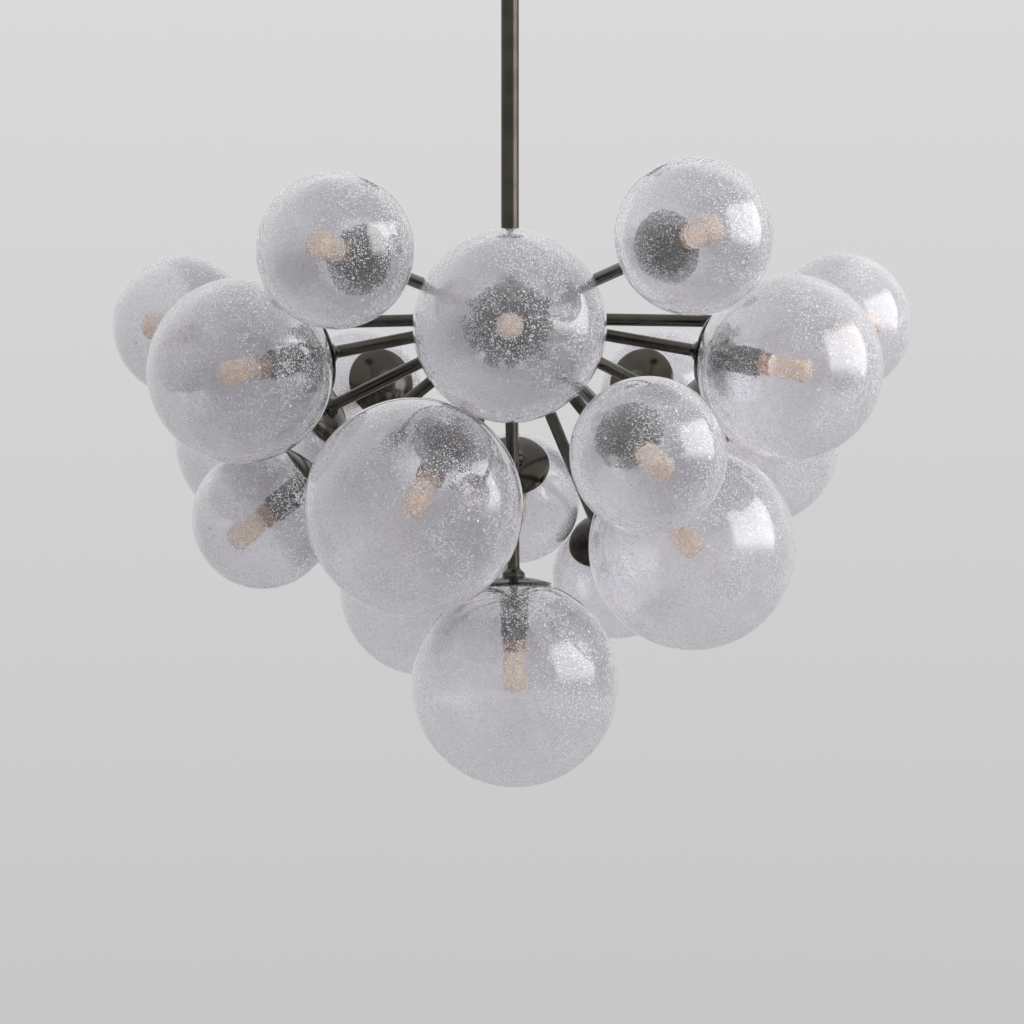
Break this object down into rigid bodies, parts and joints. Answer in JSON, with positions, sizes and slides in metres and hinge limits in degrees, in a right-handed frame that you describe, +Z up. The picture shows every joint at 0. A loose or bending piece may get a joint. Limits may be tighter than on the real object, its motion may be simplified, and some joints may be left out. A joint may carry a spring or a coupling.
{
  "type": "chandelier",
  "caption": "chandelier with clear seeded glass globes on straight arms that radiate from one hub, hung on a rod that swivels at the ceiling",
  "frame": {"origin": "centre of the canopy's flat back, on the ceiling face", "axes": "+Z points up into the ceiling and the rod hangs along -Z; -Y faces the viewer of the picture, +X is to the right"},
  "size_m": [0.8509, 0.8898, 0.9251],
  "materials": {
    "bronze": "satin dark bronze",
    "seeded_glass": "clear, polished, full of fine seeds",
    "lamp_amber": "clear amber envelope on an amber metal ring",
    "swivel_liner": "satin bearing plastic"
  },
  "bodies": {
    "ceiling_canopy": {"canopy": "bronze"},
    "liner": {"swivel_liner": "swivel_liner"},
    "fixture": {"arm_01": "bronze", "glass_globe_01": "seeded_glass", "lamp_01": "lamp_amber", "arm_02": "bronze", "glass_globe_02": "seeded_glass", "lamp_02": "lamp_amber", "arm_03": "bronze", "glass_globe_03": "seeded_glass", "lamp_03": "lamp_amber", "arm_04": "bronze", "glass_globe_04": "seeded_glass", "lamp_04": "lamp_amber", "arm_05": "bronze", "glass_globe_05": "seeded_glass", "lamp_05": "lamp_amber", "arm_06": "bronze", "glass_globe_06": "seeded_glass", "lamp_06": "lamp_amber", "arm_07": "bronze", "glass_globe_07": "seeded_glass", "lamp_07": "lamp_amber", "arm_08": "bronze", "glass_globe_08": "seeded_glass", "lamp_08": "lamp_amber", "arm_09": "bronze", "glass_globe_09": "seeded_glass", "lamp_09": "lamp_amber", "arm_10": "bronze", "glass_globe_10": "seeded_glass", "lamp_10": "lamp_amber", "arm_11": "bronze", "glass_globe_11": "seeded_glass", "lamp_11": "lamp_amber", "arm_12": "bronze", "glass_globe_12": "seeded_glass", "lamp_12": "lamp_amber", "arm_13": "bronze", "glass_globe_13": "seeded_glass", "lamp_13": "lamp_amber", "arm_14": "bronze", "glass_globe_14": "seeded_glass", "lamp_14": "lamp_amber", "arm_15": "bronze", "glass_globe_15": "seeded_glass", "lamp_15": "lamp_amber", "arm_16": "bronze", "glass_globe_16": "seeded_glass", "lamp_16": "lamp_amber", "arm_17": "bronze", "glass_globe_17": "seeded_glass", "lamp_17": "lamp_amber", "arm_18": "bronze", "glass_globe_18": "seeded_glass", "lamp_18": "lamp_amber", "arm_19": "bronze", "glass_globe_19": "seeded_glass", "lamp_19": "lamp_amber", "stem_and_hub": "bronze"}
  },
  "joints": [
    {"name": "swivel_side_to_side", "type": "hinge", "parent": "ceiling_canopy", "child": "liner", "pos_m": [0, 0, -0.03], "axis": [0, 1, 0], "range_deg": [-20, 20]},
    {"name": "swivel_front_to_back", "type": "hinge", "parent": "liner", "child": "fixture", "pos_m": [0, 0, -0.03], "axis": [1, 0, 0], "range_deg": [-20, 20]}
  ]
}
